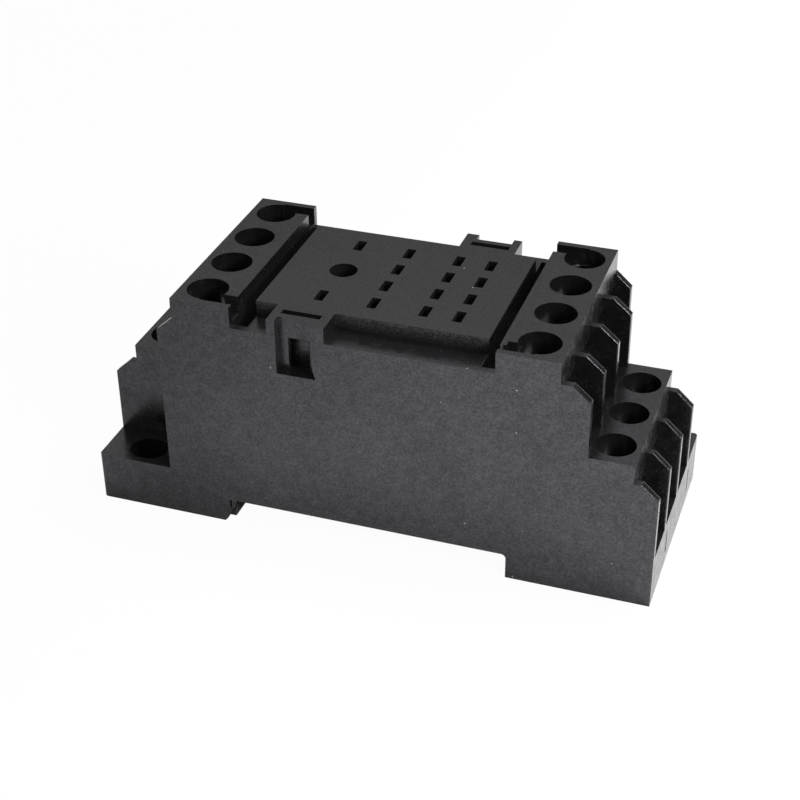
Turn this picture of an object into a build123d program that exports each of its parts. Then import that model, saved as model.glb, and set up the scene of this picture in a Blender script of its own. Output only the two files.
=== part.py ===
from build123d import *
import os

# A 14-terminal relay socket. X runs along the length, Y across the width and Z up. The origin is
# the centre of the underside. Turned by half a turn about Z, the housing looks the same but for
# the post in one of its channels.

# Heights, as a stack from the underside up
foot_height = 6.6          # feet and end walls, and the floor of the lower chambers
lower_chamber_height = 7.6
lower_roof = 5.4           # moulding over the lower chambers
upper_chamber_height = 7.4
upper_roof = 4.5           # moulding over the upper chambers
ledge_drop = 2.75          # from the top down to the ledges and troughs
seat_drop = 0.75           # from the top down to the relay seat

# Lengths, as a chain from the relay seat out to the end
seat_length = 28.9
trough_width = 1.85
trough_depth = 4.0         # below the ledges, between the outer walls
block_length = 7.6
upper_barrier_reach = 3.6  # past the block
lower_shelf = 5.45         # past the upper barriers
lower_barrier_reach = 3.05 # past the lower tier

# Walls
wall = 1.0                 # outer walls
rib = 0.9                  # barriers between terminals
fit_gap = 0.1              # clearance between mouldings that fit together
upper_chamfer_length = 2.2
upper_chamfer_height = 1.9
lower_chamfer_length = 2.1
lower_chamfer_height = 1.95
lower_flat_drop = 2.45     # from the lower tier down to the tops of its barriers
trimmed_wall_reach = 2.1   # outer wall over a screw foot, past the block
chamber_back = 1.1         # behind the upper chambers
lower_chamber_length = 6.45

# Terminals
terminal_pitch = 7.1
plate_width = 5.0
plate_side_gap = 0.1       # between the outer terminal plates and the outer walls
plate_thickness = 1.0
plate_inward = 2.9         # from the screw towards the middle
plate_outward = 3.5        # from the screw towards the end
upper_screw_inset = 4.2    # from the inner face of the block
lower_screw_inset = 3.0    # from the end of the lower tier
upper_access_radius = 2.55
lower_access_radius = 2.4
screw_radius = 1.45
screw_running_gap = 0.05
screw_length = 5.15        # below the head
screw_tip_gap = 1.0        # below the tip, in the moulding
screw_room_gap = 0.4       # round the tip, in the moulding
head_radius = 2.3
head_height = 1.9
slot_width = 0.8
slot_depth = 0.9
slot_turn = 25             # degrees from one screw's slot to the next
clamp_length = 5.4
clamp_width = 5.0
clamp_thickness = 1.0
clamp_bore_gap = 0.2
clamp_seat_gap = 0.1
head_seat_gap = 0.05

# Rim channels beside the outer screw holes
channel_width = 2.0
channel_depth = 2.2
rim_thickness = 0.85
channel_post_length = 0.7  # in the mouth of the front right channel
channel_post_width = 0.95

# Relay seat
seat_width = 20.8
pin_pitch = 4.4
pin_row_x = (-0.9, 5.55, 9.7)
coil_x = -7.5
coil_y = 6.75
pin_slot_length = 1.15
pin_slot_width = 2.5
pin_guide_depth = 1.6
key_hole_x = -7.2
key_hole_radius = 1.75
key_hole_depth = 6.5

# Contacts
strip_width = 2.4
strip_gap = 0.15           # between a strip and its groove
riser_thickness = 0.9
fork_base = 0.8
fork_width = 1.9
fork_throat = 0.45
fork_mouth = 0.9
fork_lead_height = 2.2     # from the throat up to the mouth
fork_top_gap = 0.4
leaf_thickness = 0.35
socket_length = 2.4

# Clip brackets
bracket_x = 8.0
bracket_length = 7.2
thin_cheek = 1.05
thick_cheek = 1.55
cheek_foot = 1.2           # thick cheek, at the bottom
cheek_taper_height = 1.2
recess_depth = 1.2
recess_height = 7.15
clip_slot_length = 4.95
clip_slot_width = 0.92
clip_slot_inset = 2.0
window_width = 2.7
window_height = 4.45
window_side = 1.15         # from the thin cheek

# Rail recess
rail_width = 35.0
rail_clearance = 0.3
rail_offset = 0.55         # from the middle of the socket, to the right
rail_recess_depth = 3.4
rail_corner_radius = 0.6
rail_lip_height = 1.75
rail_lip_length = 0.65
rail_lip_radius = 2.5
rail_slit = 0.25
foot_edge_inset = 1.7

# Screw feet and end walls
foot_hole_end_inset = 5.6
foot_hole_side_inset = 3.05
foot_hole_width = 4.2
foot_hole_length = 5.0
foot_corner_radius = 0.5
end_slit_y = (-5.4, 8.3)
end_slit_width = 0.45
end_slit_depth = 2.0
end_slit_height = 3.2
end_slit_rise = 1.7

# Base cover
cover_rise = 0.2           # above the underside of the housing
hook_reach = 1.5
hook_height = 2.1
hook_width = 12.0
hook_tip_reach = 0.75      # underside of the hook
hook_tip_low = 1.05
hook_tip_high = 1.9
pocket_length = 5.3
pocket_roof = 1.4
pocket_rib = 1.2

# Rail latch and its spring
latch_rise = 0.3
latch_thickness = 1.8
latch_width = 8.0
latch_gap = 0.1
latch_travel = 2.4
latch_nose = 1.4           # past the lip
latch_lead = 1.4
latch_flange = 0.8
latch_flange_height = 0.8
latch_flange_inset = 1.9   # from the rail
latch_stop_wall = 1.2      # cover between the latch's groove and the end wall
latch_window_head = 2.5
latch_window_rim = 0.7
latch_window_width = 3.0
driver_slot_length = 1.4
driver_slot_width = 4.4
driver_slot_inset = 1.3
spring_post = 1.0
spring_radius = 0.95
spring_wire = 0.36
spring_turns = 3

# Levels that follow from the heights
lower_ceiling = foot_height + lower_chamber_height
tier_height = lower_ceiling + lower_roof
upper_ceiling = tier_height + upper_chamber_height
body_height = upper_ceiling + upper_roof
ledge_z = body_height - ledge_drop
seat_z = body_height - seat_drop
guide_z = seat_z - pin_guide_depth
fork_floor = tier_height + plate_thickness
fork_top = guide_z - fork_top_gap

# Distances from the middle that follow from the lengths
block_inner = seat_length / 2 + trough_width
block_outer = block_inner + block_length
upper_reach = block_outer + upper_barrier_reach
tier_outer = upper_reach + lower_shelf
half_length = tier_outer + lower_barrier_reach
chamber_inner = block_inner + chamber_back
lower_chamber_inner = tier_outer - lower_chamber_length
trimmed_reach = block_outer + trimmed_wall_reach
upper_screw_x = block_inner + upper_screw_inset
lower_screw_x = tier_outer - lower_screw_inset
rail_left = (rail_width + rail_clearance) / 2 - rail_offset
rail_right = (rail_width + rail_clearance) / 2 + rail_offset

# Distances from the middle across the width
terminal_ys = [terminal_pitch * (i - 1.5) for i in range(4)]
pin_ys = [pin_pitch * (i - 1.5) for i in range(4)]
inner_y = terminal_ys[-1] + plate_width / 2 + plate_side_gap
half_width = inner_y + wall
pocket_wall_y = terminal_pitch + rib / 2

# Places of the latch and its spring
latch_top = latch_rise + latch_thickness
channel_top = latch_top + latch_gap
latch_stop_x = half_length - wall - fit_gap - latch_stop_wall
latch_flange_end = latch_stop_x - latch_gap - latch_travel
latch_flange_start = rail_left + latch_flange_inset
latch_window_end = latch_flange_end - latch_window_rim
latch_window_start = latch_flange_start + latch_window_head
spring_room = spring_radius + spring_wire / 2 + latch_gap
spring_z = latch_rise + spring_room
post_x = latch_window_end - 2 * latch_gap


def block(x0, x1, y0, y1, z0, z1):
    """A box between two corners, given in any order."""
    centre = ((x0 + x1) / 2, (y0 + y1) / 2, (z0 + z1) / 2)
    return Pos(*centre) * Box(abs(x1 - x0), abs(y1 - y0), abs(z1 - z0))


def rod(x, y, radius, z0, z1):
    """An upright cylinder."""
    return Pos(x, y, (z0 + z1) / 2) * Cylinder(radius, z1 - z0)


def side_plate(points, y0, y1):
    """A profile drawn in X and Z, as a plate from y0 to y1."""
    face = Plane.XZ * make_face(Polyline(*points, close=True))
    return Pos(0, y1, 0) * extrude(face, amount=y1 - y0)


def turned(shape):
    """The same shape after half a turn about Z."""
    return Rot(0, 0, 180) * shape


def both_ends(shape):
    """A shape and its copy at the other end."""
    return shape + turned(shape)


def barrier_edge():
    """Outline of a full barrier from the underside to the ledge, at the right end."""
    flat_z = tier_height - lower_flat_drop
    return [
        (half_length, 0),
        (half_length, flat_z - lower_chamfer_height),
        (half_length - lower_chamfer_length, flat_z),
        (tier_outer, flat_z),
        (tier_outer, tier_height),
        (upper_reach, tier_height),
        (upper_reach, ledge_z - upper_chamfer_height),
        (upper_reach - upper_chamfer_length, ledge_z),
    ]


def outer_wall():
    """Front wall, with a full barrier edge on the right and the screw foot on the left."""
    trimmed_edge = [
        (-block_outer, ledge_z),
        (-trimmed_reach, ledge_z - upper_chamfer_height),
        (-trimmed_reach, foot_height),
        (-half_length, foot_height),
        (-half_length, 0),
    ]
    return side_plate(barrier_edge() + trimmed_edge, -half_width, -inner_y)


def barrier(y):
    """One barrier rib of the right end, through both tiers."""
    outline = [(lower_chamber_inner, foot_height), (half_length, foot_height)]
    outline += barrier_edge()[1:]
    outline += [(chamber_inner, ledge_z), (chamber_inner, tier_height)]
    outline += [(lower_chamber_inner, tier_height)]
    return side_plate(outline, y - rib / 2, y + rib / 2)


def right_end():
    """Terminal blocks, barriers, end wall and screw foot of the right end."""
    end = block(block_inner, block_outer, -half_width, half_width, upper_ceiling, body_height)
    end += block(lower_chamber_inner, tier_outer, -half_width, pocket_wall_y,
                 lower_ceiling, tier_height)
    for y in (-terminal_pitch, 0, terminal_pitch):
        end += barrier(y)
    end += block(half_length - wall, half_length, -half_width, half_width, 0, foot_height)
    foot_x = trimmed_reach - wall
    foot_y = pocket_wall_y - rib
    end += block(foot_x, half_length, foot_y, half_width, 0, foot_height)
    end += block(foot_x, trimmed_reach, foot_y, half_width, 0, tier_height)
    end += block(foot_x, lower_chamber_inner, foot_y, pocket_wall_y, 0, tier_height)
    return end


def access_holes():
    """Screwdriver holes of the right end, and the rim channels of its outer two."""
    holes = []
    for y in terminal_ys:
        holes.append(rod(upper_screw_x, y, upper_access_radius, upper_ceiling, body_height))
    for y in terminal_ys[:3]:
        holes.append(rod(lower_screw_x, y, lower_access_radius, lower_ceiling, tier_height))
    outer_y = half_width - rim_thickness
    channel_y = outer_y - channel_width
    channel_z = body_height - channel_depth
    for side in (-1, 1):
        holes.append(block(block_inner, upper_screw_x, side * channel_y, side * outer_y,
                           channel_z, body_height))
    return holes


def channel_post():
    """Post that narrows the mouth of the front right channel."""
    y0 = half_width - rim_thickness - channel_width
    return block(block_inner, block_inner + channel_post_length, -y0 - channel_post_width, -y0,
                 body_height - channel_depth, body_height)


def clip_bracket():
    """Bracket for the relay's hold-down clip, on the front left."""
    x0 = -bracket_x - bracket_length / 2
    x1 = -bracket_x + bracket_length / 2
    return block(x0, x1, -half_width, -seat_width / 2, ledge_z, seat_z)


def clip_cuts():
    """Recess, slot and window of the front clip bracket."""
    x0 = -bracket_x - bracket_length / 2 + thin_cheek
    x1 = -bracket_x + bracket_length / 2
    floor_z = seat_z - recess_height
    outline = [
        (x0, floor_z),
        (x1 - cheek_foot, floor_z),
        (x1 - thick_cheek, floor_z + cheek_taper_height),
        (x1 - thick_cheek, seat_z),
        (x0, seat_z),
    ]
    recess = side_plate(outline, -half_width, -half_width + recess_depth)
    slot_y0 = -half_width + clip_slot_inset
    slot_y1 = slot_y0 + clip_slot_width
    slot = block(x0, x0 + clip_slot_length, slot_y0, slot_y1, floor_z, seat_z)
    window_x = x0 + window_side
    window = block(window_x, window_x + window_width, -half_width, slot_y1,
                   floor_z, floor_z + window_height)
    return [recess, slot, window]


def pin_places():
    """Places of the 14 relay pins: three rows of four, and two for the coil."""
    places = [(x, y) for x in pin_row_x for y in pin_ys]
    return places + [(coil_x, -coil_y), (coil_x, coil_y)]


def contact_routes():
    """For each terminal: its screw, its pin and whether it is in the upper tier."""
    break_x, make_x, common_x = pin_row_x
    routes = []
    for terminal_y, pin_y in zip(terminal_ys, pin_ys):
        routes.append(((upper_screw_x, terminal_y), (common_x, pin_y), True))
    for terminal_y, pin_y in zip(terminal_ys[:3], (pin_ys[0], pin_ys[1], pin_ys[3])):
        routes.append(((lower_screw_x, terminal_y), (make_x, pin_y), False))
    upper_left = ((coil_x, -coil_y), (break_x, pin_ys[1]), (break_x, pin_ys[2]), (coil_x, coil_y))
    for terminal_y, pin in zip(terminal_ys, upper_left):
        routes.append(((-upper_screw_x, terminal_y), pin, True))
    lower_left = ((break_x, pin_ys[0]), (make_x, pin_ys[2]), (break_x, pin_ys[3]))
    for terminal_y, pin in zip(terminal_ys[1:], lower_left):
        routes.append(((-lower_screw_x, terminal_y), pin, False))
    return routes


def arm(screw, pin, gap, z0, z1):
    """A contact's arm, from its pin to the inner edge of its terminal plate."""
    side = 1 if screw[0] > 0 else -1
    half = strip_width / 2 + gap
    pin_x = pin[0] - side * (riser_thickness / 2 + gap)
    bend_x = pin[0] + side * riser_thickness
    plate_x = screw[0] - side * (plate_inward - gap)
    outline = [
        (pin_x, pin[1] - half),
        (pin_x, pin[1] + half),
        (bend_x, pin[1] + half),
        (plate_x, screw[1] + half),
        (plate_x, screw[1] - half),
        (bend_x, pin[1] - half),
    ]
    face = make_face(Polyline(*outline, close=True))
    return Pos(0, 0, z0) * extrude(face, amount=z1 - z0)


def riser(pin, gap, z0, z1):
    """A contact's upright stretch under its fork."""
    half_x = riser_thickness / 2 + gap
    half_y = strip_width / 2 + gap
    return block(pin[0] - half_x, pin[0] + half_x, pin[1] - half_y, pin[1] + half_y, z0, z1)


def fork(pin):
    """The two spring leaves that hold a relay pin, on their base."""
    x, y = pin
    y0 = y - strip_width / 2
    y1 = y + strip_width / 2
    base_z = fork_floor + fork_base
    throat_z = fork_top - fork_lead_height
    shape = block(x - fork_width / 2, x + fork_width / 2, y0, y1, fork_floor, base_z)
    for side in (-1, 1):
        leaf = [
            (x + side * (fork_width / 2 - leaf_thickness), base_z),
            (x + side * fork_width / 2, base_z),
            (x + side * (fork_throat / 2 + leaf_thickness), throat_z),
            (x + side * (fork_mouth / 2 + leaf_thickness), fork_top),
            (x + side * fork_mouth / 2, fork_top),
            (x + side * fork_throat / 2, throat_z),
        ]
        shape += side_plate(leaf, y0, y1)
    return shape


def floor_of(route):
    """Level that a terminal plate lies on."""
    return tier_height if route[2] else foot_height


def contact(route):
    """One brass strip: terminal plate, arm, riser and fork."""
    screw, pin, upper = route
    side = 1 if screw[0] > 0 else -1
    floor_z = floor_of(route)
    top_z = floor_z + plate_thickness
    shape = block(screw[0] - side * plate_inward, screw[0] + side * plate_outward,
                  screw[1] - plate_width / 2, screw[1] + plate_width / 2, floor_z, top_z)
    shape += arm(screw, pin, 0, floor_z, top_z)
    shape += riser(pin, 0, floor_z, fork_floor)
    shape += fork(pin)
    return shape - rod(*screw, screw_radius + screw_running_gap, floor_z, top_z)


def clamp_plate(route):
    """Captive square plate that presses on the wire."""
    x, y = route[0]
    z0 = floor_of(route) + plate_thickness + clamp_seat_gap
    z1 = z0 + clamp_thickness
    plate = block(x - clamp_length / 2, x + clamp_length / 2,
                  y - clamp_width / 2, y + clamp_width / 2, z0, z1)
    return plate - rod(x, y, screw_radius + clamp_bore_gap, z0, z1)


def terminal_screw(route, turn):
    """Cheese-head screw with a driver slot."""
    x, y = route[0]
    under_head = floor_of(route) + plate_thickness + clamp_seat_gap + clamp_thickness + head_seat_gap
    shape = rod(0, 0, screw_radius, -screw_length, 0) + rod(0, 0, head_radius, 0, head_height)
    slot = block(-head_radius, head_radius, -slot_width / 2, slot_width / 2,
                 head_height - slot_depth, head_height)
    return Pos(x, y, under_head) * (shape - Rot(0, 0, turn) * slot)


def screw_tip_room(route):
    """Square room for a screw's end in the moulding under its terminal plate."""
    x, y = route[0]
    half = screw_radius + screw_room_gap
    floor_z = floor_of(route)
    depth = screw_length - plate_thickness - clamp_seat_gap - clamp_thickness - head_seat_gap
    return block(x - half, x + half, y - half, y + half, floor_z - depth - screw_tip_gap, floor_z)


def rail_recess():
    """Cut of the rail recess through the outer walls, with the left lip and its slit."""
    lip_x = -rail_left - rail_lip_length
    slit_x = lip_x - rail_slit
    foot_edge = (-rail_left - foot_edge_inset, 0)
    lip_edge = RadiusArc((slit_x, rail_lip_height), foot_edge, rail_lip_radius)
    sides = Polyline(
        foot_edge,
        (rail_right, 0),
        (rail_right, rail_recess_depth),
        (-rail_left, rail_recess_depth),
        (lip_x, rail_lip_height),
        (slit_x, rail_lip_height),
    )
    face = Plane.XZ * make_face([lip_edge, *sides.edges()])
    cut = Pos(0, half_width, 0) * extrude(face, amount=2 * half_width)
    corner = cut.edges().filter_by(Axis.Y).sort_by_distance((rail_right, 0, rail_recess_depth))[0]
    cut = fillet(corner, rail_corner_radius)
    return cut + block(slit_x, lip_x, -half_width, half_width, rail_lip_height, rail_recess_depth)


def end_slits():
    """Slits in the end walls, which run on into what lies behind."""
    cuts = []
    for y in end_slit_y:
        slit = block(half_length - end_slit_depth, half_length,
                     y - end_slit_width / 2, y + end_slit_width / 2,
                     end_slit_rise, end_slit_rise + end_slit_height)
        cuts += [slit, turned(slit)]
    return cuts


def latch_opening():
    """Opening of the latch in the left end wall."""
    half = latch_width / 2 + latch_gap
    return block(-half_length, wall - half_length, -half, half, 0, channel_top)


def foot_hole():
    """Oblong hole of the back right screw foot."""
    hole = extrude(SlotOverall(foot_hole_length, foot_hole_width), amount=foot_height)
    return Pos(half_length - foot_hole_end_inset, half_width - foot_hole_side_inset, 0) * hole


def trough():
    """Deep part of the right trough, between the outer walls."""
    return block(seat_length / 2, block_inner, -inner_y, inner_y, ledge_z - trough_depth, ledge_z)


def foot_corner():
    """Sliver outside the rounded corner of the back right screw foot."""
    x = half_length - foot_corner_radius
    y = half_width - foot_corner_radius
    corner = block(x, half_length, y, half_width, 0, foot_height)
    return corner - rod(x, y, foot_corner_radius, 0, foot_height)


def pin_cuts():
    """Pin slots in the relay seat, and the sockets of the forks below them."""
    cuts = []
    for x, y in pin_places():
        cuts.append(block(x - pin_slot_length / 2, x + pin_slot_length / 2,
                          y - pin_slot_width / 2, y + pin_slot_width / 2, guide_z, seat_z))
        half_y = strip_width / 2 + strip_gap
        cuts.append(block(x - socket_length / 2, x + socket_length / 2,
                          y - half_y, y + half_y, tier_height, guide_z))
    return cuts


def housing():
    """The main moulding."""
    body = both_ends(outer_wall())
    body += block(-chamber_inner, chamber_inner, -half_width, half_width, tier_height, ledge_z)
    body += both_ends(right_end())
    body += block(-seat_length / 2, seat_length / 2, -seat_width / 2, seat_width / 2, ledge_z, seat_z)
    body += both_ends(clip_bracket())
    cuts = [rail_recess(), latch_opening()]
    for cut in access_holes() + clip_cuts() + [trough(), foot_hole(), foot_corner()]:
        cuts += [cut, turned(cut)]
    cuts += end_slits() + pin_cuts()
    cuts.append(rod(key_hole_x, 0, key_hole_radius, seat_z - key_hole_depth, seat_z))
    for screw, pin, upper in contact_routes():
        if upper:
            cuts.append(arm(screw, pin, strip_gap, tier_height, fork_floor))
    return body - cuts + channel_post()


def inner_moulding(end_x, z0, z1):
    """A moulding that fills the walls from end to end, notched round the screw feet."""
    foot_x = trimmed_reach - wall - fit_gap
    y0 = inner_y - fit_gap
    y1 = pocket_wall_y - rib - fit_gap
    half = [(end_x, -y0), (end_x, y1), (foot_x, y1), (foot_x, y0)]
    plan = half + [(-x, -y) for x, y in half]
    return Pos(0, 0, z0) * extrude(make_face(Polyline(*plan, close=True)), amount=z1 - z0)


def contact_carrier():
    """Inner moulding: upper contacts lie on its top, lower contacts in its underside."""
    body = inner_moulding(lower_chamber_inner - fit_gap, foot_height, tier_height)
    cuts = []
    for route in contact_routes():
        screw, pin, upper = route
        if upper:
            cuts.append(screw_tip_room(route))
        else:
            cuts.append(arm(screw, pin, strip_gap, foot_height, foot_height + plate_thickness))
            cuts.append(riser(pin, strip_gap, foot_height, tier_height))
    return body - cuts


def rail_hook():
    """Fixed hook of the base cover, under the right edge of the rail."""
    profile = [
        (rail_right, cover_rise),
        (rail_right - hook_tip_reach, cover_rise),
        (rail_right - hook_reach, hook_tip_low),
        (rail_right - hook_reach, hook_tip_high),
        (rail_right, hook_height),
    ]
    return side_plate(profile, -hook_width / 2, hook_width / 2)


def cover_pockets():
    """Cored pockets in the underside of the feet: three on the right, two beside the latch."""
    start = rail_right + pocket_rib
    end = start + pocket_length
    top = foot_height - pocket_roof
    outer = inner_y - fit_gap - pocket_rib
    inner = latch_width / 2 + latch_flange + pocket_rib
    cuts = [block(start, end, pocket_rib - inner, inner - pocket_rib, 0, top)]
    for side in (-1, 1):
        cuts.append(block(start, end, side * inner, side * outer, 0, top))
        cuts.append(block(-start, -end, side * inner, side * outer, 0, top))
    return cuts


def latch_channel():
    """Channel of the latch in the left foot, with its stops and the room for its spring."""
    narrow = latch_width / 2 + latch_gap
    wide = narrow + latch_flange
    groove_z = latch_top - latch_flange_height - latch_gap
    return [
        block(-half_length, -rail_left, -narrow, narrow, 0, channel_top),
        block(-latch_stop_x, latch_gap - latch_flange_start, -wide, wide, groove_z, channel_top),
        block(latch_gap - latch_window_end, -latch_window_start, -spring_room, spring_room,
              channel_top, spring_z + spring_room),
    ]


def spring_post_block():
    """Fixed post of the cover that the spring pushes against."""
    half = latch_window_width / 2 - 2 * latch_gap
    return block(-post_x, spring_post - post_x, -half, half,
                 latch_rise + latch_gap, spring_z + spring_room + fit_gap)


def base_cover():
    """Moulding that closes the underside, with the rail hook and the latch channel."""
    body = inner_moulding(half_length - wall - fit_gap, cover_rise, foot_height)
    body -= block(-rail_left - rail_lip_length, rail_right, -half_width, half_width,
                  0, rail_recess_depth)
    body += rail_hook()
    cuts = cover_pockets() + latch_channel() + end_slits()
    for route in contact_routes():
        if not route[2]:
            cuts.append(screw_tip_room(route))
    return body - cuts + spring_post_block()


def rail_latch():
    """Slider that holds the rail, with its nose at the recess and its tab at the end."""
    tip_x = latch_nose - rail_left - rail_lip_length
    tab_x = latch_gap - half_length
    profile = [
        (tab_x, latch_rise),
        (tip_x - latch_lead, latch_rise),
        (tip_x, latch_rise + latch_lead),
        (tip_x, latch_top),
        (tab_x, latch_top),
    ]
    body = side_plate(profile, -latch_width / 2, latch_width / 2)
    flange = latch_width / 2 + latch_flange
    body += block(-latch_flange_end, -latch_flange_start, -flange, flange,
                  latch_top - latch_flange_height, latch_top)
    body -= block(-latch_window_end, -latch_window_start, -latch_window_width / 2,
                  latch_window_width / 2, latch_rise, latch_top)
    slot_x = tab_x + driver_slot_inset
    body -= block(slot_x, slot_x + driver_slot_length, -driver_slot_width / 2,
                  driver_slot_width / 2, latch_rise, latch_top)
    return body


def latch_spring():
    """Compression spring between the fixed post and the end of the latch's window."""
    start = spring_post - post_x + latch_gap + spring_wire / 2
    length = -latch_window_start - latch_gap - spring_wire / 2 - start
    path = Helix(length / spring_turns, length, spring_radius)
    section = Plane(path @ 0, z_dir=path % 0) * Rectangle(spring_wire, spring_wire)
    return Pos(start, 0, spring_z) * Rot(0, 90, 0) * sweep(section, path, is_frenet=True)


def save(shape, name):
    """Write one node."""
    export_step(shape, f"parts/{name}.step")


def main():
    os.makedirs("parts", exist_ok=True)
    save(housing(), "housing")
    save(contact_carrier(), "contact_carrier")
    save(base_cover(), "base_cover")
    save(rail_latch(), "rail_latch")
    save(latch_spring(), "latch_spring")
    for index, route in enumerate(contact_routes(), start=1):
        save(contact(route), f"contact_{index:02d}")
        save(clamp_plate(route), f"clamp_plate_{index:02d}")
        save(terminal_screw(route, slot_turn * index), f"terminal_screw_{index:02d}")


main()
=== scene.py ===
import math

import bmesh
import bpy
from mathutils import Matrix, Vector


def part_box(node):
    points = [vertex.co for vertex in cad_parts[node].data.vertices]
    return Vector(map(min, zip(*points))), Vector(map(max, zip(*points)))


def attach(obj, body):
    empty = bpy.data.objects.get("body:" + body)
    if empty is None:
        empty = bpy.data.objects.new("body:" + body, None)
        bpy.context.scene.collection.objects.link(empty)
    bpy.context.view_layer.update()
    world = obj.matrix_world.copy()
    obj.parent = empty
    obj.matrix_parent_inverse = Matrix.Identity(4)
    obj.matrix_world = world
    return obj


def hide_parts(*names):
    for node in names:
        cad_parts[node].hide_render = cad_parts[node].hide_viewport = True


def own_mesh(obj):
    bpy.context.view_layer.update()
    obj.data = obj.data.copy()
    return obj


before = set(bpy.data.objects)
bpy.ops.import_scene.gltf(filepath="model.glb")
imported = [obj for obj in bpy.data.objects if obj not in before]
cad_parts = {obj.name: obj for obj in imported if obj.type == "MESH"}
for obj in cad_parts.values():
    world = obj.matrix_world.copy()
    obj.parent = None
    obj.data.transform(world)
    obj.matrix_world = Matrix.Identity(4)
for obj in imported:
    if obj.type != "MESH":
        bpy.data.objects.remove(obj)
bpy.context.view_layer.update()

# Camera, as it stood for the photograph: degrees, metres and pixels
AZIMUTH = 19.115
ELEVATION = 32.617
ROLL = -0.516
DISTANCE = 0.212434
TARGET = Vector((0.00007, 0.000407, 0.013012))
FOCAL_PIXELS = 1667.05
CENTRE_PIXEL = (401.79, 400.285)
IMAGE_PIXELS = 800
SENSOR_MM = 36.0
CLIP_START = 0.01

# Light, where 1 is the level at which a colour renders as it is written
ROOM_LEVEL = 0.45
ROOM_REFLECTED_LEVEL = 0.58
HORIZON_REFLECTED_LEVEL = 0.06
HORIZON_BAND = (0.36, 0.5)   # sines of the elevations between which it changes
OVERHEAD_LEVEL = 0.72
OVERHEAD_PLACE = Vector((0.33, 0.26, 0.8))
OVERHEAD_SIZE = 0.45
FRONT_LEVEL = 0.55
FRONT_PLACE = Vector((0.246, -0.153, 0.171))
FRONT_SIZE = 0.08
WHITE = (1.0, 1.0, 1.0, 1.0)

# Floor, which is darker on the left, and how much of its look to the camera is plain white
FLOOR_SIZE = 4.0
FLOOR_COLOUR = 0.95
SHADED_FLOOR_COLOUR = 0.62
SHADE_BAND = (-0.045, -0.005)   # places along X between which it changes
FLOOR_ROUGHNESS = 0.7
FLOOR_GLOW = 0.96

# Plastics: colour, roughness, and whether the face is rubbed and dusty
PLASTICS = {
    "black_moulding": ((0.004, 0.004, 0.0044), 0.24, True),
    "dark_moulding": ((0.004, 0.004, 0.0045), 0.28, False),
    "latch_moulding": ((0.005, 0.005, 0.0055), 0.26, False),
}
PLASTIC_IOR = 1.65
PLASTIC_TINT = (0.94, 0.94, 1.0, 1.0)
GRAIN_CONTRAST = 2.4
# Lighter colour on the rounded edges, a painted highlight, and how much of it is laid on
EDGE_HIGHLIGHT_PLASTIC = (0.02, 0.02, 0.021)
EDGE_HIGHLIGHT_SHARE = 0.6
WORN_SMOOTHING = 0.06
RUBBED_PLASTIC = (0.05, 0.05, 0.052)

# Metals: clean and stained colour, roughness, and the stretch of their drawn lines
METALS = {
    "contact_metal": ((0.78, 0.62, 0.34), (0.5, 0.36, 0.18), 0.26, (1, 0.08, 1)),
    "clamp_metal": ((0.6, 0.6, 0.57), (0.42, 0.42, 0.38), 0.32, (1, 0.1, 1)),
    "screw_metal": ((0.66, 0.65, 0.6), (0.45, 0.43, 0.36), 0.28, (1, 1, 1)),
    "spring_metal": ((0.5, 0.5, 0.5), (0.3, 0.3, 0.3), 0.3, (0.1, 1, 1)),
}
BRIGHT_METAL = (0.9, 0.89, 0.86)
BRIGHT_SHARE = 0.4

# The finish of each CAD node, by the first of these that its name starts with
FINISHES = {
    "contact_carrier": "dark_moulding",
    "base_cover": "dark_moulding",
    "rail_latch": "latch_moulding",
    "latch_spring": "spring_metal",
    "contact_": "contact_metal",
    "clamp_plate_": "clamp_metal",
    "terminal_screw_": "screw_metal",
    "housing": "black_moulding",
}

# Noises: size in metres and detail
GRAIN = (0.00024, 1.0)
MOTTLE = (0.0014, 4.0)
WAVES = (0.009, 1.0)
STAINS = (0.0014, 5.0)
DRAWN_LINES = (0.00024, 3.0)

# Depths of the bumps, in metres
GRAIN_DEPTH = 0.000003
WAVE_DEPTH = 0.00001
LINE_DEPTH = 0.000004

# Dust: spacing and radius in metres, share of the pattern's cells that hold a speck, colour
FINE_SPECKS = (0.0011, 0.00007, 0.4, (0.11, 0.11, 0.113))
SPECKS = (0.003, 0.00012, 0.4, (0.3, 0.3, 0.31))
SPECK_CORE = 0.6
CAVITY_DUST = (0.0125, 0.0125, 0.0132)

# Ramps: two values of what is read, and what is made of each
CORNER_ROUNDING = (0.75, 0.92, 0.0, 1.0)
EDGE_TURN = (0.99, 0.8, 0.0, 1.0)
GRAIN_COLOUR = (0.45, 0.7, 0.0, 1.0)
CAVITY_SETTLING = (0.25, 0.85, 0.9, 0.0)
RUBBED_GRAIN = (0.4, 0.62, 0.3, 1.0)
GRAIN_GLOSS = (0.3, 0.7, 0.4, 0.64)
MOTTLE_GLOSS = (0.3, 0.7, 0.87, 1.13)
WAVE_GLOSS = (0.25, 0.75, 0.92, 1.08)
# Weaker reflections in slots and corners: painted shade
CAVITY_SHADE_GLOSS = (0.2, 0.75, 0.5, 1.0)
STAIN_COLOUR = (0.4, 0.75, 0.0, 0.7)
STAIN_METALLIC = (0.4, 0.75, 0.95, 0.75)
# The same for roughness, but the last two are how far it falls and rises
PLASTIC_SPREAD = (0.3, 0.75, 0.04, 0.07)
METAL_SPREAD = (0.3, 0.8, 0.05, 0.12)

# Rounded edges and openness: reaches in metres, and rays
EDGE_RADIUS = 0.00024
CORNER_REACH = 0.0006
CAVITY_REACH = 0.005
OPENNESS_SAMPLES = 8
EDGE_SAMPLES = 6

# Heights of the flat tops, whose rims are sharp, in metres
SHARP_LEVELS = (0.0315, 0.03075, 0.0196, 0.0066)
SHARP_REACH = 0.0004
# Above this height the outline of the outer walls is sharp too
SHARP_WALL_HEIGHT = 0.0196
OUTER_WALL = 0.01395

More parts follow.
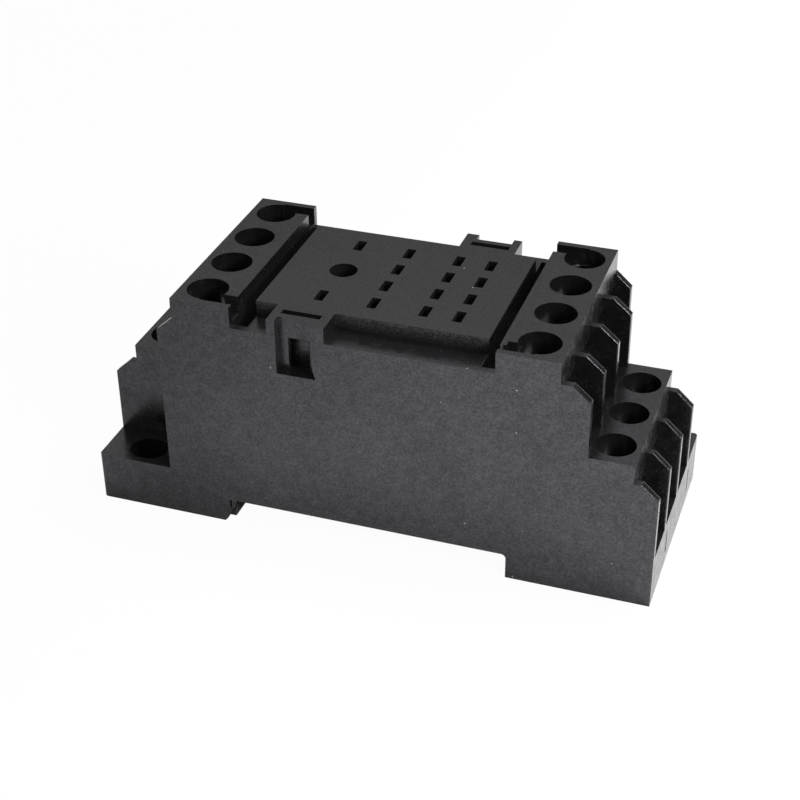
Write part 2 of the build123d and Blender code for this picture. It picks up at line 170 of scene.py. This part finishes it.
# The long sides of the relay seat, rubbed by relays: distance from the middle and heights
SEAT_SIDE = 0.0104
SEAT_SIDE_REACH = 0.00008
SEAT_SIDE_FOOT = 0.0288
SEAT_SIDE_TOP = 0.0306
SEAT_SIDE_RIM = 0.0307

# The latch's spring, which shortens as the latch slides: metres, turns and wires
SPRING_WIRE = 0.00034
SPRING_TURNS = 7.5
CLOSED_TURNS = 1.0
OPENING_TURNS = 0.5
CLOSED_PITCH = 1.03
TURN_STEPS = 32
WIRE_SIDES = 12


def new_material(name):
    """A new material, its node tree and its Principled shader."""
    material = bpy.data.materials.new(name)
    material.use_nodes = True
    shader = material.node_tree.nodes["Principled BSDF"]
    return material, material.node_tree, shader


def add(tree, kind, **inputs):
    """A node with some of its input sockets set."""
    made = tree.nodes.new(kind)
    for socket, value in inputs.items():
        made.inputs[socket.replace("_", " ")].default_value = value
    return made


def math_node(tree, operation, first, second=0.0):
    """A Math node: each side is a socket or a number."""
    made = tree.nodes.new("ShaderNodeMath")
    made.operation = operation
    for index, side in enumerate((first, second)):
        if isinstance(side, bpy.types.NodeSocket):
            tree.links.new(side, made.inputs[index])
        else:
            made.inputs[index].default_value = side
    return made.outputs[0]


def product(tree, first, *others):
    """The product of a socket and other sockets or numbers."""
    for other in others:
        first = math_node(tree, "MULTIPLY", first, other)
    return first


def remap(tree, value, low, high, to_low, to_high):
    """Map a value's range to another, held at both ends."""
    made = tree.nodes.new("ShaderNodeMapRange")
    made.inputs["From Min"].default_value = low
    made.inputs["From Max"].default_value = high
    made.inputs["To Min"].default_value = to_low
    made.inputs["To Max"].default_value = to_high
    tree.links.new(value, made.inputs["Value"])
    return made.outputs["Result"]


def uneven(tree, value, level, low, high, fall, rise):
    """A level that falls and rises with a noise."""
    return remap(tree, value, low, high, level - fall, level + rise)


def object_coordinates(tree):
    """Places in the object's own frame, in metres."""
    return tree.nodes.new("ShaderNodeTexCoord").outputs["Object"]


def split(tree, vector):
    """The X, Y and Z of a vector."""
    parts = tree.nodes.new("ShaderNodeSeparateXYZ")
    tree.links.new(vector, parts.inputs["Vector"])
    return parts.outputs


def noise(tree, size, detail, stretch=None):
    """Noise with features of a real size, drawn out along an axis where stretch is small."""
    made = add(tree, "ShaderNodeTexNoise", Scale=1.0 / size, Detail=detail)
    place = object_coordinates(tree)
    if stretch:
        mapping = add(tree, "ShaderNodeMapping", Scale=stretch)
        tree.links.new(place, mapping.inputs["Vector"])
        place = mapping.outputs["Vector"]
    tree.links.new(place, made.inputs["Vector"])
    return made.outputs["Fac"]


def blend(tree, kind, factor, first, second):
    """A colour or vector between two: each is a socket or, for a colour, its numbers."""
    made = tree.nodes.new("ShaderNodeMix")
    made.data_type = kind
    tree.links.new(factor, made.inputs["Factor"])
    sides = [side for side in made.inputs if side.type == kind and side.name in ("A", "B")]
    for side, value in zip(sides, (first, second)):
        if isinstance(value, bpy.types.NodeSocket):
            tree.links.new(value, side)
        else:
            side.default_value = (*value, 1.0)
    return next(output for output in made.outputs if output.type == kind)


def mix_shaders(tree, factor, first, second):
    """A shader between two."""
    mix = tree.nodes.new("ShaderNodeMixShader")
    tree.links.new(factor, mix.inputs["Fac"])
    tree.links.new(first, mix.inputs[1])
    tree.links.new(second, mix.inputs[2])
    return mix.outputs["Shader"]


def openness(tree, reach):
    """How much of the room a place sees past what lies within reach: 1 in the open."""
    around = add(tree, "ShaderNodeAmbientOcclusion", Distance=reach)
    around.samples = OPENNESS_SAMPLES
    return around.outputs["AO"]


def rounded_share(tree):
    """1 where edges are rounded, and 0 in inner corners and on sharp rims and outlines."""
    share = remap(tree, openness(tree, CORNER_REACH), *CORNER_ROUNDING)
    place = split(tree, object_coordinates(tree))
    for level in SHARP_LEVELS:
        height = math_node(tree, "SUBTRACT", place["Z"], level)
        distance = math_node(tree, "ABSOLUTE", height)
        away = math_node(tree, "GREATER_THAN", distance, SHARP_REACH)
        share = product(tree, share, away)
    from_middle = math_node(tree, "ABSOLUTE", place["Y"])
    inside = math_node(tree, "LESS_THAN", from_middle, OUTER_WALL)
    low = math_node(tree, "LESS_THAN", place["Z"], SHARP_WALL_HEIGHT)
    return product(tree, share, math_node(tree, "MAXIMUM", inside, low))


def rubbed_sides(tree):
    """A mask of the long sides of the relay seat, stronger towards their upper edge."""
    place = split(tree, object_coordinates(tree))
    from_middle = math_node(tree, "ABSOLUTE", place["Y"])
    off = math_node(tree, "SUBTRACT", from_middle, SEAT_SIDE)
    on = math_node(tree, "LESS_THAN", math_node(tree, "ABSOLUTE", off), SEAT_SIDE_REACH)
    height = remap(tree, place["Z"], SEAT_SIDE_FOOT, SEAT_SIDE_TOP, 0.0, 1.0)
    below = math_node(tree, "LESS_THAN", place["Z"], SEAT_SIDE_RIM)
    return product(tree, on, height, below)


def rounded_normal(tree, radius, share=None):
    """Normals of slightly rounded edges, and a mask that is 1 on those edges."""
    bevel = add(tree, "ShaderNodeBevel", Radius=radius)
    bevel.samples = EDGE_SAMPLES
    normal = bevel.outputs["Normal"]
    flat = tree.nodes.new("ShaderNodeNewGeometry").outputs["True Normal"]
    turn = tree.nodes.new("ShaderNodeVectorMath")
    turn.operation = "DOT_PRODUCT"
    tree.links.new(normal, turn.inputs[0])
    tree.links.new(flat, turn.inputs[1])
    edge = remap(tree, turn.outputs["Value"], *EDGE_TURN)
    if share:
        normal = blend(tree, "VECTOR", share, flat, normal)
        edge = product(tree, edge, share)
    return normal, edge


def bump(tree, height, distance, normal):
    """Bump on top of other normals."""
    made = add(tree, "ShaderNodeBump", Strength=1.0, Distance=distance)
    tree.links.new(height, made.inputs["Height"])
    tree.links.new(normal, made.inputs["Normal"])
    return made.outputs["Normal"]


def with_specks(tree, base, spacing, radius, share, colour):
    """A colour with small dust specks, in a share of the cells of a pattern."""
    cells = add(tree, "ShaderNodeTexVoronoi", Scale=1.0 / spacing)
    tree.links.new(object_coordinates(tree), cells.inputs["Vector"])
    reach = radius / spacing
    dot = remap(tree, cells.outputs["Distance"], reach, SPECK_CORE * reach, 0.0, 1.0)
    parts = tree.nodes.new("ShaderNodeSeparateColor")
    tree.links.new(cells.outputs["Color"], parts.inputs["Color"])
    chosen = math_node(tree, "LESS_THAN", parts.outputs[0], share)
    return blend(tree, "RGBA", product(tree, dot, chosen), base, colour)


def gloss(tree, grain, mottle, waves, open_share):
    """Strength of the reflections: uneven with the grain, and weaker in slots and corners,
    which paints shade there.
    """
    fine = remap(tree, grain, *GRAIN_GLOSS)
    broad = remap(tree, mottle, *MOTTLE_GLOSS)
    flow = remap(tree, waves, *WAVE_GLOSS)
    painted_cavity_shade = remap(tree, open_share, *CAVITY_SHADE_GLOSS)
    return product(tree, fine, broad, flow, painted_cavity_shade)


def moulded_plastic(name, colour, roughness, dusty):
    """Black plastic with a fine eroded grain, faint flow marks, softened edges and dust, with
    a painted highlight on the edges and painted shade in slots and corners.
    """
    material, tree, shader = new_material(name)
    normal, edge = rounded_normal(tree, EDGE_RADIUS, rounded_share(tree))
    grain = noise(tree, *GRAIN)
    mottle = noise(tree, *MOTTLE)
    waves = noise(tree, *WAVES)
    open_share = openness(tree, CAVITY_REACH)

    lighter = tuple(GRAIN_CONTRAST * channel for channel in colour)
    base = blend(tree, "RGBA", remap(tree, grain, *GRAIN_COLOUR), colour, lighter)
    # Painted highlight: the rounded edges are made lighter
    base = blend(tree, "RGBA", product(tree, edge, EDGE_HIGHLIGHT_SHARE), base, EDGE_HIGHLIGHT_PLASTIC)
    base = blend(tree, "RGBA", remap(tree, open_share, *CAVITY_SETTLING), base, CAVITY_DUST)
    if dusty:
        rubbed = product(tree, rubbed_sides(tree), remap(tree, grain, *RUBBED_GRAIN))
        base = blend(tree, "RGBA", rubbed, base, RUBBED_PLASTIC)
        base = with_specks(tree, base, *FINE_SPECKS)
        base = with_specks(tree, base, *SPECKS)
    tree.links.new(base, shader.inputs["Base Color"])

    strength = gloss(tree, grain, mottle, waves, open_share)
    tree.links.new(strength, shader.inputs["Specular IOR Level"])
    spread = uneven(tree, mottle, roughness, *PLASTIC_SPREAD)
    rough = math_node(tree, "SUBTRACT", spread, product(tree, edge, WORN_SMOOTHING))
    tree.links.new(rough, shader.inputs["Roughness"])
    shader.inputs["IOR"].default_value = PLASTIC_IOR
    shader.inputs["Specular Tint"].default_value = PLASTIC_TINT
    normal = bump(tree, waves, WAVE_DEPTH, normal)
    tree.links.new(bump(tree, grain, GRAIN_DEPTH, normal), shader.inputs["Normal"])
    return material


def plated_metal(name, colour, stained, roughness, stretch):
    """Sheet or turned metal with fine drawn lines and slight staining."""
    material, tree, shader = new_material(name)
    normal, edge = rounded_normal(tree, EDGE_RADIUS / 2)
    lines = noise(tree, *DRAWN_LINES, stretch)
    stains = noise(tree, *STAINS)
    base = blend(tree, "RGBA", remap(tree, stains, *STAIN_COLOUR), colour, stained)
    base = blend(tree, "RGBA", product(tree, edge, BRIGHT_SHARE), base, BRIGHT_METAL)
    tree.links.new(base, shader.inputs["Base Color"])
    tree.links.new(remap(tree, stains, *STAIN_METALLIC), shader.inputs["Metallic"])
    tree.links.new(uneven(tree, stains, roughness, *METAL_SPREAD), shader.inputs["Roughness"])
    tree.links.new(bump(tree, lines, LINE_DEPTH, normal), shader.inputs["Normal"])
    return material


def make_materials():
    """Every finish, by its name."""
    made = {name: moulded_plastic(name, *facts) for name, facts in PLASTICS.items()}
    made.update({name: plated_metal(name, *facts) for name, facts in METALS.items()})
    return made


def dress(materials):
    """Give every CAD node its finish."""
    for name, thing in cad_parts.items():
        start = next(start for start in FINISHES if name.startswith(start))
        for slot in thing.material_slots:
            slot.material = materials[FINISHES[start]]


def spring_line(start, end, middle, radius):
    """Points along a coil with closed ends, each with its outward and forward directions."""
    steps = int(SPRING_TURNS * TURN_STEPS)
    shares = []
    for step in range(steps):
        turn = (step + 0.5) / TURN_STEPS
        from_end = min(turn, SPRING_TURNS - turn)
        shares.append(min(1.0, max(0.0, (from_end - CLOSED_TURNS) / OPENING_TURNS)))
    closed = CLOSED_PITCH * SPRING_WIRE / TURN_STEPS
    opened = (end - start - closed * sum(1 - share for share in shares)) / sum(shares)
    x = start
    line = []
    for step in range(steps + 1):
        angle = 2 * math.pi * step / TURN_STEPS
        outward = Vector((0, math.cos(angle), math.sin(angle)))
        across = Vector((0, -math.sin(angle), math.cos(angle)))
        rise = closed + (opened - closed) * shares[min(step, steps - 1)]
        forward = across * (2 * math.pi * radius / TURN_STEPS) + Vector((rise, 0, 0))
        point = Vector((x, middle.y, middle.z)) + radius * outward
        line.append((point, outward, forward.normalized()))
        x += rise
    return line


def wire_ring(shape, point, outward, forward):
    """The corners of the wire's cross-section at a point."""
    side = forward.cross(outward)
    ring = []
    for corner in range(WIRE_SIDES):
        turn = 2 * math.pi * corner / WIRE_SIDES
        offset = math.cos(turn) * outward + math.sin(turn) * side
        ring.append(shape.verts.new(point + SPRING_WIRE / 2 * offset))
    return ring


def make_spring(finish):
    """A wound spring of round wire with closed ends, in the place of the CAD one."""
    low, high = (Vector(corner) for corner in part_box("latch_spring"))
    half_wire = SPRING_WIRE / 2
    radius = min(high.y - low.y, high.z - low.z) / 2 - half_wire
    line = spring_line(low.x + half_wire, high.x - half_wire, (low + high) / 2, radius)
    shape = bmesh.new()
    rings = [wire_ring(shape, *step) for step in line]
    for first, second in zip(rings, rings[1:]):
        for corner in range(WIRE_SIDES):
            following = (corner + 1) % WIRE_SIDES
            face = (first[corner], first[following], second[following], second[corner])
            shape.faces.new(face).smooth = True
    shape.faces.new(rings[0])
    shape.faces.new(rings[-1])
    bmesh.ops.recalc_face_normals(shape, faces=shape.faces)
    mesh = bpy.data.meshes.new("spring_coil")
    shape.to_mesh(mesh)
    shape.free()
    mesh.materials.append(finish)
    coil = bpy.data.objects.new("spring_coil", mesh)
    bpy.context.scene.collection.objects.link(coil)
    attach(coil, "socket")
    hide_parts("latch_spring")
    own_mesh(coil)


def make_camera():
    """The photograph's camera."""
    azimuth = math.radians(AZIMUTH)
    elevation = math.radians(ELEVATION)
    roll = math.radians(ROLL)
    level = math.cos(elevation)
    back = Vector((level * math.sin(azimuth), -level * math.cos(azimuth), math.sin(elevation)))
    right = Vector((math.cos(azimuth), math.sin(azimuth), 0))
    up = back.cross(right)
    rolled_right = right * math.cos(roll) + up * math.sin(roll)
    rolled_up = up * math.cos(roll) - right * math.sin(roll)
    data = bpy.data.cameras.new("camera")
    data.sensor_width = SENSOR_MM
    data.lens = FOCAL_PIXELS * SENSOR_MM / IMAGE_PIXELS
    data.shift_x = (IMAGE_PIXELS / 2 - CENTRE_PIXEL[0]) / IMAGE_PIXELS
    data.shift_y = (CENTRE_PIXEL[1] - IMAGE_PIXELS / 2) / IMAGE_PIXELS
    data.clip_start = CLIP_START
    camera = bpy.data.objects.new("camera", data)
    turn = Matrix((rolled_right, rolled_up, back)).transposed().to_4x4()
    camera.matrix_world = Matrix.Translation(TARGET + DISTANCE * back) @ turn
    bpy.context.scene.collection.objects.link(camera)
    bpy.context.scene.camera = camera


def make_room():
    """A plain room: even light, seen as white, and mirrored darker towards the horizon."""
    world = bpy.data.worlds.new("room")
    world.use_nodes = True
    bpy.context.scene.world = world
    tree = world.node_tree
    even = tree.nodes["Background"]
    even.inputs["Color"].default_value = WHITE
    even.inputs["Strength"].default_value = ROOM_LEVEL
    mirrored = add(tree, "ShaderNodeBackground", Color=WHITE)
    direction = split(tree, tree.nodes.new("ShaderNodeTexCoord").outputs["Generated"])
    level = remap(tree, direction["Z"], *HORIZON_BAND,
                  HORIZON_REFLECTED_LEVEL, ROOM_REFLECTED_LEVEL)
    tree.links.new(level, mirrored.inputs["Strength"])
    white = add(tree, "ShaderNodeBackground", Color=WHITE, Strength=1.0)
    ray = tree.nodes.new("ShaderNodeLightPath").outputs
    lit = mix_shaders(tree, ray["Is Glossy Ray"], even.outputs["Background"],
                      mirrored.outputs["Background"])
    seen = mix_shaders(tree, ray["Is Camera Ray"], lit, white.outputs["Background"])
    tree.links.new(seen, tree.nodes["World Output"].inputs["Surface"])


def make_floor():
    """A white floor, which the camera sees as white apart from a faint shadow."""
    bpy.ops.mesh.primitive_plane_add(size=FLOOR_SIZE, location=(0, 0, 0))
    floor = bpy.context.object
    floor.name = "floor"
    material, tree, shader = new_material("floor")
    place = split(tree, object_coordinates(tree))
    tone = remap(tree, place["X"], *SHADE_BAND, SHADED_FLOOR_COLOUR, FLOOR_COLOUR)
    tree.links.new(tone, shader.inputs["Base Color"])
    shader.inputs["Roughness"].default_value = FLOOR_ROUGHNESS
    glow = add(tree, "ShaderNodeEmission", Color=WHITE, Strength=1.0)
    ray = tree.nodes.new("ShaderNodeLightPath").outputs
    share = product(tree, ray["Is Camera Ray"], FLOOR_GLOW)
    seen = mix_shaders(tree, share, shader.outputs["BSDF"], glow.outputs["Emission"])
    tree.links.new(seen, tree.nodes["Material Output"].inputs["Surface"])
    floor.data.materials.append(material)


def softbox(name, place, size, level):
    """A square lamp that points at the object and lights it to a level, as seen square on."""
    data = bpy.data.lights.new(name, "AREA")
    data.shape = "SQUARE"
    data.size = size
    distance = place.length
    data.energy = level * math.pi * math.pi * distance * distance
    lamp = bpy.data.objects.new(name, data)
    lamp.location = place
    lamp.rotation_euler = place.to_track_quat("Z", "Y").to_euler()
    bpy.context.scene.collection.objects.link(lamp)


make_camera()
make_room()
make_floor()
softbox("overhead", OVERHEAD_PLACE, OVERHEAD_SIZE, OVERHEAD_LEVEL)
softbox("front", FRONT_PLACE, FRONT_SIZE, FRONT_LEVEL)
materials = make_materials()
dress(materials)
make_spring(materials["spring_metal"])

scene = bpy.context.scene
scene.view_settings.view_transform = "Standard"
